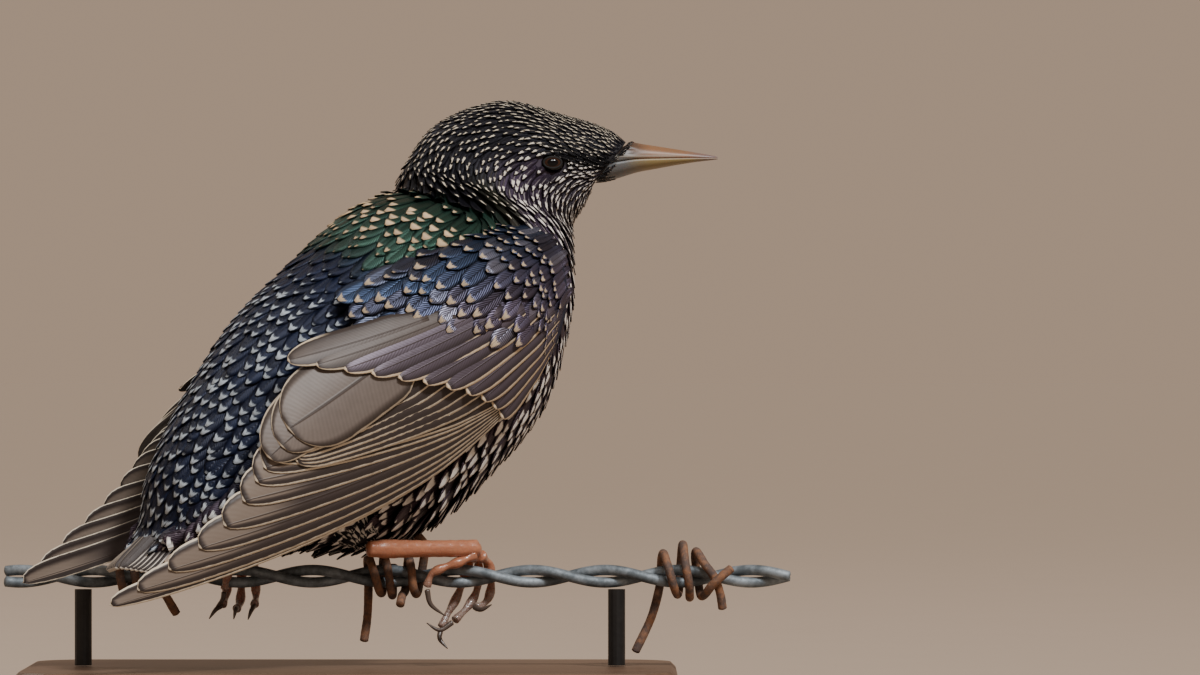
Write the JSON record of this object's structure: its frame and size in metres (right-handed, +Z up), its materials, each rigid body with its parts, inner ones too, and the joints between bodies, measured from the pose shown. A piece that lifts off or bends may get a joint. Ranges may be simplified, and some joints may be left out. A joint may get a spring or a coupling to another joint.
{
  "type": "starling on barbed wire",
  "caption": "Life-size still model of a common starling in winter plumage, gripping a cut length of twisted barbed wire on a plain display stand.",
  "frame": {"origin": "the middle of the underside of the stand's base, on the floor below the wire", "axes": "+Z up; +X along the wire, towards the end that the bird's bill points to; +Y away from the viewer, across the wire"},
  "size_m": [0.1826, 0.1093, 0.1402],
  "materials": {
    "body_feathers": "glossy black feathers with a green and violet sheen and pale tips",
    "flight_feathers": "grey-brown feathers with narrow buff edges",
    "bare_leg": "reddish-orange scaly skin, damp",
    "claw": "dark horn, standing in as a hard glossy shell",
    "bill": "horn, brown and grey with an orange-brown middle",
    "eye": "dark brown, wet",
    "galvanised_wire": "weathered zinc",
    "rusted_wire": "brown rust",
    "stand_wood": "dark stained, satin",
    "stand_metal": "black, satin"
  },
  "bodies": {
    "root": {"bill_lower": "bill", "bill_upper": "bill", "claw_left_1": "claw", "claw_left_2": "claw", "claw_left_3": "claw", "claw_left_4": "claw", "claw_right_1": "claw", "claw_right_2": "claw", "claw_right_3": "claw", "claw_right_4": "claw", "eye_left": "eye", "eye_right": "eye", "foot_left": "bare_leg", "foot_right": "bare_leg", "head": "body_feathers", "leg_left_shin": "bare_leg", "leg_left_thigh": "body_feathers", "leg_right_shin": "bare_leg", "leg_right_thigh": "body_feathers", "neck": "body_feathers", "stand_base": "stand_wood", "stand_rod_left": "stand_metal", "stand_rod_right": "stand_metal", "tail": "flight_feathers", "torso": "body_feathers", "wing_left": "flight_feathers", "wing_right": "flight_feathers", "wire_barb_1": "rusted_wire", "wire_barb_2": "rusted_wire", "wire_barb_3": "rusted_wire", "wire_barb_4": "rusted_wire", "wire_barb_5": "rusted_wire", "wire_barb_6": "rusted_wire", "wire_strand_1": "galvanised_wire", "wire_strand_2": "galvanised_wire"}
  },
  "joints": []
}
